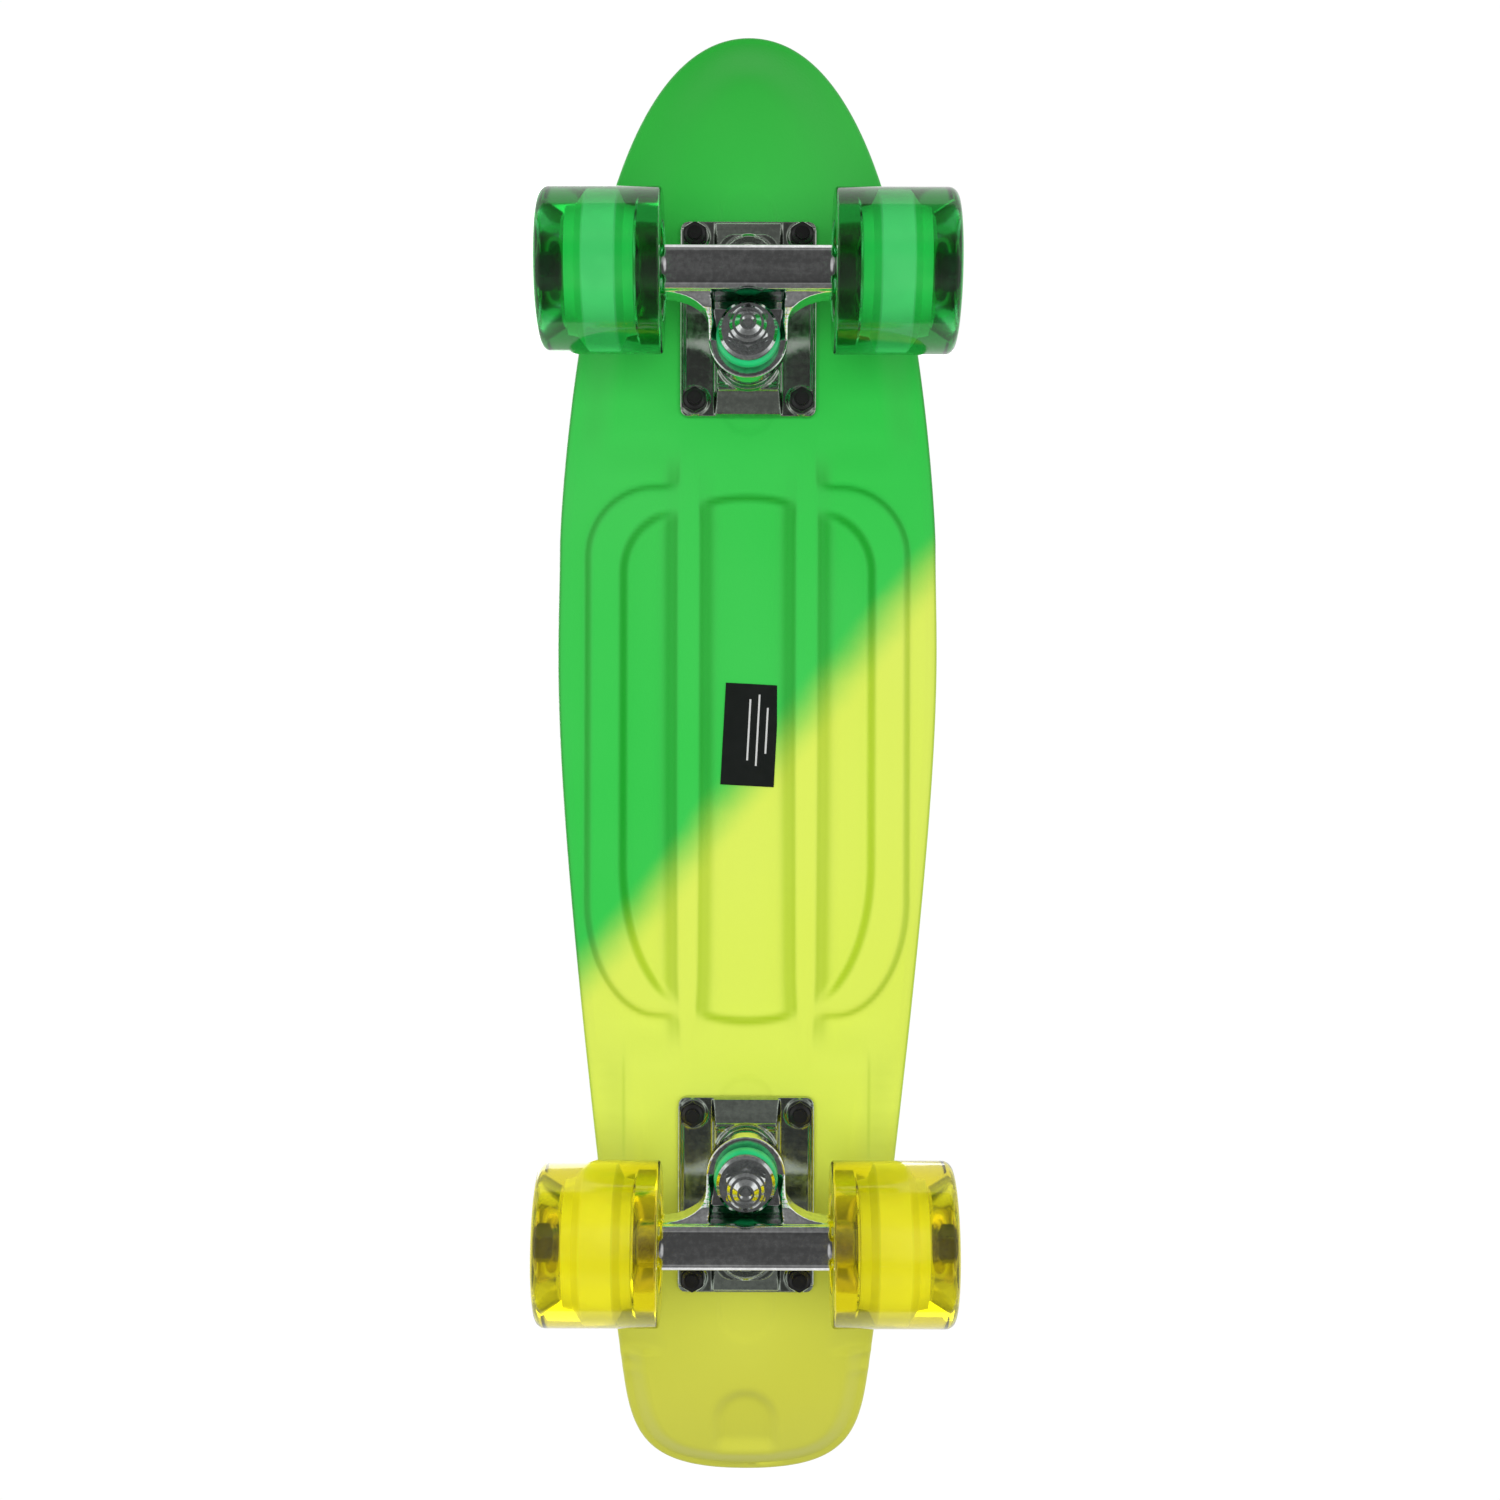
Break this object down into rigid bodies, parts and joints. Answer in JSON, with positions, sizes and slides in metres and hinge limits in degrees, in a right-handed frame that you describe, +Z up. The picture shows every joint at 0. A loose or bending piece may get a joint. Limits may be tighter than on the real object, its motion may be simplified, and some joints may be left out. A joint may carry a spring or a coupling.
{
  "type": "skateboard",
  "caption": "Small cruiser skateboard with a ribbed moulded deck, kicked tail, sprung steering trucks and see-through wheels on bearings.",
  "frame": {"origin": "on the ground under the middle of the board, wheels down", "axes": "+X towards the nose, +Y to the rider's left, +Z up"},
  "size_m": [0.576, 0.15, 0.1116],
  "materials": {
    "deck_plastic": "satin moulded plastic, green running into yellow on a slant",
    "label": "matt black film",
    "cast_metal": "as cast, polished on the faces",
    "plated_steel": "bright plated",
    "dark_nut": "dull steel",
    "black_steel": "black oxide",
    "bearing_steel": "ground steel",
    "cage_brass": "pressed",
    "pivot_plastic": "natural plastic",
    "bushing_green": "soft urethane",
    "tyre_green": "clear tinted urethane",
    "tyre_yellow": "clear tinted urethane",
    "core_green": "moulded plastic",
    "core_yellow": "moulded plastic"
  },
  "bodies": {
    "board": {"deck": "deck_plastic", "blank_label": "label", "front_baseplate": "cast_metal", "front_pivot_cup": "pivot_plastic", "front_kingpin": "plated_steel", "front_kingpin_nut": "plated_steel", "front_board_washer": "plated_steel", "front_board_bushing": "bushing_green", "front_road_bushing": "bushing_green", "front_road_washer": "plated_steel", "front_mounting_bolts": "black_steel", "front_mounting_nuts": "black_steel", "rear_baseplate": "cast_metal", "rear_pivot_cup": "pivot_plastic", "rear_kingpin": "plated_steel", "rear_kingpin_nut": "plated_steel", "rear_board_washer": "plated_steel", "rear_board_bushing": "bushing_green", "rear_road_bushing": "bushing_green", "rear_road_washer": "plated_steel", "rear_mounting_bolts": "black_steel", "rear_mounting_nuts": "black_steel"},
    "front_hanger": {"front_hanger": "cast_metal", "front_axle": "plated_steel", "front_axle_nuts": "dark_nut", "front_speed_washers": "plated_steel", "front_bearing_spacers": "plated_steel", "front_inner_rings": "bearing_steel"},
    "rear_hanger": {"rear_hanger": "cast_metal", "rear_axle": "plated_steel", "rear_axle_nuts": "dark_nut", "rear_speed_washers": "plated_steel", "rear_bearing_spacers": "plated_steel", "rear_inner_rings": "bearing_steel"},
    "front_left_wheel": {"front_left_tyre": "tyre_green", "front_left_core": "core_green", "front_left_outer_rings": "bearing_steel", "front_left_shields": "bearing_steel"},
    "front_left_ball_train": {"front_left_balls": "bearing_steel", "front_left_cages": "cage_brass"},
    "front_right_wheel": {"front_right_tyre": "tyre_green", "front_right_core": "core_green", "front_right_outer_rings": "bearing_steel", "front_right_shields": "bearing_steel"},
    "front_right_ball_train": {"front_right_balls": "bearing_steel", "front_right_cages": "cage_brass"},
    "rear_left_wheel": {"rear_left_tyre": "tyre_yellow", "rear_left_core": "core_yellow", "rear_left_outer_rings": "bearing_steel", "rear_left_shields": "bearing_steel"},
    "rear_left_ball_train": {"rear_left_balls": "bearing_steel", "rear_left_cages": "cage_brass"},
    "rear_right_wheel": {"rear_right_tyre": "tyre_yellow", "rear_right_core": "core_yellow", "rear_right_outer_rings": "bearing_steel", "rear_right_shields": "bearing_steel"},
    "rear_right_ball_train": {"rear_right_balls": "bearing_steel", "rear_right_cages": "cage_brass"}
  },
  "joints": [
    {"name": "front_steer", "type": "hinge", "parent": "board", "child": "front_hanger", "pos_m": [0.15191, 0, 0.04505], "axis": [0.8492, 0, 0.5281], "range_deg": [-12, 12], "stiffness_Nm_per_rad": 40, "deforming": ["front_board_bushing", "front_road_bushing"]},
    {"name": "rear_steer", "type": "hinge", "parent": "board", "child": "rear_hanger", "pos_m": [-0.15611, 0, 0.04505], "axis": [-0.8492, 0, 0.5281], "range_deg": [-12, 12], "stiffness_Nm_per_rad": 40, "deforming": ["rear_board_bushing", "rear_road_bushing"]},
    {"name": "front_left_wheel_spin", "type": "hinge", "parent": "front_hanger", "child": "front_left_wheel", "pos_m": [0.1739, 0.053, 0.0295], "axis": [0, 1, 0], "continuous": true},
    {"name": "front_left_cage_spin", "type": "hinge", "parent": "front_hanger", "child": "front_left_ball_train", "pos_m": [0.1739, 0.053, 0.0295], "axis": [0, 1, 0], "continuous": true},
    {"name": "front_right_wheel_spin", "type": "hinge", "parent": "front_hanger", "child": "front_right_wheel", "pos_m": [0.1739, -0.053, 0.0295], "axis": [0, 1, 0], "continuous": true},
    {"name": "front_right_cage_spin", "type": "hinge", "parent": "front_hanger", "child": "front_right_ball_train", "pos_m": [0.1739, -0.053, 0.0295], "axis": [0, 1, 0], "continuous": true},
    {"name": "rear_left_wheel_spin", "type": "hinge", "parent": "rear_hanger", "child": "rear_left_wheel", "pos_m": [-0.1781, 0.053, 0.0295], "axis": [0, 1, 0], "continuous": true},
    {"name": "rear_left_cage_spin", "type": "hinge", "parent": "rear_hanger", "child": "rear_left_ball_train", "pos_m": [-0.1781, 0.053, 0.0295], "axis": [0, 1, 0], "continuous": true},
    {"name": "rear_right_wheel_spin", "type": "hinge", "parent": "rear_hanger", "child": "rear_right_wheel", "pos_m": [-0.1781, -0.053, 0.0295], "axis": [0, 1, 0], "continuous": true},
    {"name": "rear_right_cage_spin", "type": "hinge", "parent": "rear_hanger", "child": "rear_right_ball_train", "pos_m": [-0.1781, -0.053, 0.0295], "axis": [0, 1, 0], "continuous": true}
  ],
  "couplings": [
    {"joint": "front_left_cage_spin", "follows": "front_left_wheel_spin", "ratio": 0.62},
    {"joint": "front_right_cage_spin", "follows": "front_right_wheel_spin", "ratio": 0.62},
    {"joint": "rear_left_cage_spin", "follows": "rear_left_wheel_spin", "ratio": 0.62},
    {"joint": "rear_right_cage_spin", "follows": "rear_right_wheel_spin", "ratio": 0.62}
  ]
}
